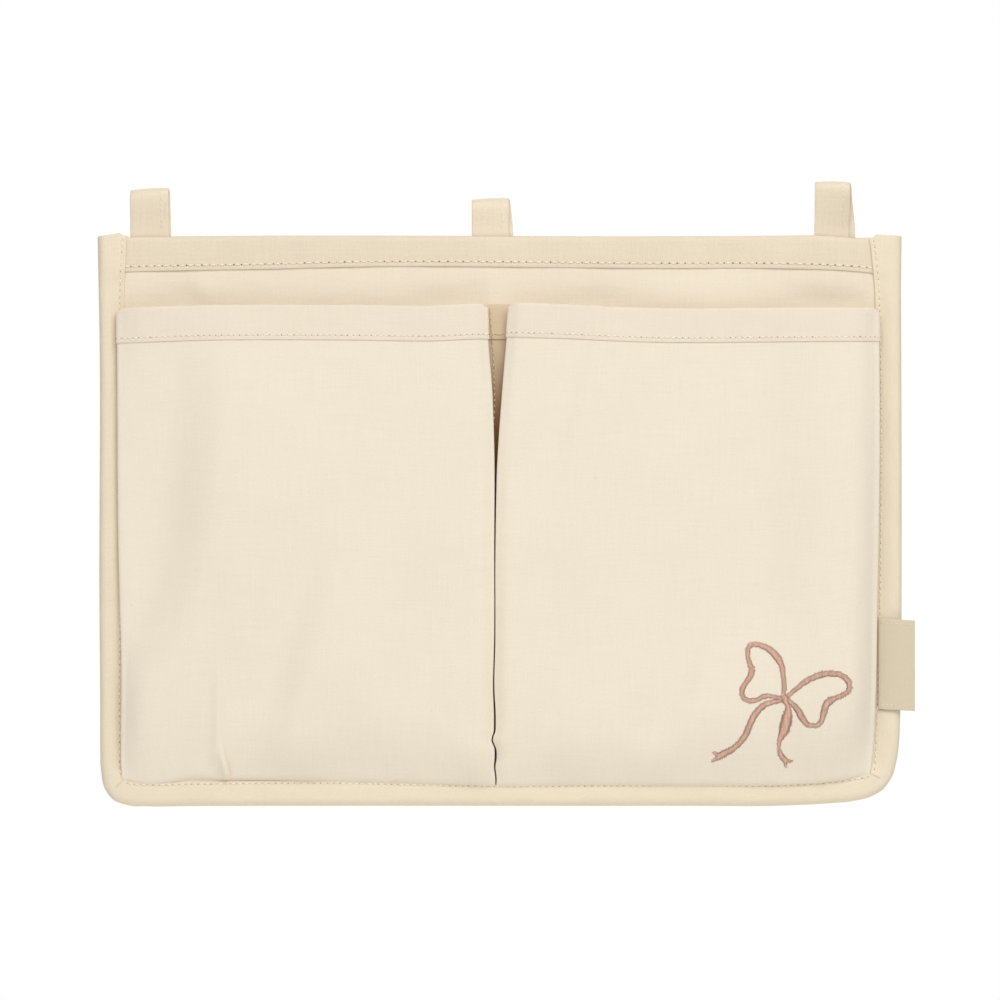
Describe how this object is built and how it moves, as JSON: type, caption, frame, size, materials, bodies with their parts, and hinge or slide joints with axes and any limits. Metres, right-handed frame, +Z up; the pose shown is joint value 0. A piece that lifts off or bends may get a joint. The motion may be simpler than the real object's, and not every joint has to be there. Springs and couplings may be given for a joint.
{
  "type": "bedside caddy",
  "caption": "Hanging bedside caddy: a padded canvas panel with bound edges, tape loops along its top, side-by-side pleated pockets, a bare side label and an embroidered bow.",
  "frame": {"origin": "on the underside of the centre loop's crown, on the panel's middle planes, where a rail or hook carries the caddy", "axes": "+X to the right seen from the front, -Y out of the front, +Z up"},
  "size_m": [0.4273, 0.0216, 0.3265],
  "materials": {
    "cream_canvas": "plain-weave cotton canvas, matt, unbleached",
    "canvas_binding": "plain-weave cotton canvas folded double, matt",
    "cotton_tape": "woven cotton tape, matt",
    "label_tape": "woven tape, matt, bare",
    "cream_thread": "twisted cotton sewing thread",
    "wadding": "soft fibre sheet",
    "pink_thread": "satin-stitch embroidery thread, soft sheen"
  },
  "bodies": {
    "panel": {"back_lining": "cream_canvas", "wadding": "wadding", "face_panel": "cream_canvas", "edge_binding": "canvas_binding", "binding_thread": "cream_thread", "top_hem": "canvas_binding", "top_hem_thread": "cream_thread", "pocket_centre_strip": "cream_canvas", "centre_seam_thread": "cream_thread", "left_loop_tail": "cotton_tape", "centre_loop_tail": "cotton_tape", "right_loop_tail": "cotton_tape", "left_pocket_outer_pleat": "cream_canvas", "left_pocket_inner_pleat": "cream_canvas", "right_pocket_outer_pleat": "cream_canvas", "right_pocket_inner_pleat": "cream_canvas"},
    "left_loop": {"left_loop": "cotton_tape"},
    "centre_loop": {"centre_loop": "cotton_tape"},
    "right_loop": {"right_loop": "cotton_tape"},
    "label": {"side_label": "label_tape"},
    "left_pocket": {"left_pocket_front": "cream_canvas", "left_pocket_hem": "cream_canvas", "left_pocket_hem_thread": "cream_thread"},
    "right_pocket": {"right_pocket_front": "cream_canvas", "right_pocket_hem": "cream_canvas", "right_pocket_hem_thread": "cream_thread", "bow_embroidery": "pink_thread"}
  },
  "joints": [
    {"name": "left_loop_bend", "type": "hinge", "parent": "panel", "child": "left_loop", "pos_m": [-0.1833, 0, -0.0166], "axis": [1, 0, 0], "range_deg": [-85, 85], "stiffness_Nm_per_rad": 0.002},
    {"name": "centre_loop_bend", "type": "hinge", "parent": "panel", "child": "centre_loop", "pos_m": [-0.0047, 0, -0.0166], "axis": [1, 0, 0], "range_deg": [-85, 85], "stiffness_Nm_per_rad": 0.002},
    {"name": "right_loop_bend", "type": "hinge", "parent": "panel", "child": "right_loop", "pos_m": [0.174, 0, -0.0166], "axis": [1, 0, 0], "range_deg": [-85, 85], "stiffness_Nm_per_rad": 0.002},
    {"name": "label_lift", "type": "hinge", "parent": "panel", "child": "label", "pos_m": [0.1994, -0.0053, -0.24305], "axis": [0, 0, -1], "range_deg": [0, 90], "stiffness_Nm_per_rad": 0.0005},
    {"name": "left_pocket_open", "type": "hinge", "parent": "panel", "child": "left_pocket", "pos_m": [0, -0.0033, -0.3047], "axis": [1, 0, 0], "range_deg": [0, 8], "stiffness_Nm_per_rad": 0.15, "deforming": ["left_pocket_outer_pleat", "left_pocket_inner_pleat"]},
    {"name": "right_pocket_open", "type": "hinge", "parent": "panel", "child": "right_pocket", "pos_m": [0, -0.0033, -0.3047], "axis": [1, 0, 0], "range_deg": [0, 8], "stiffness_Nm_per_rad": 0.15, "deforming": ["right_pocket_outer_pleat", "right_pocket_inner_pleat"]}
  ]
}
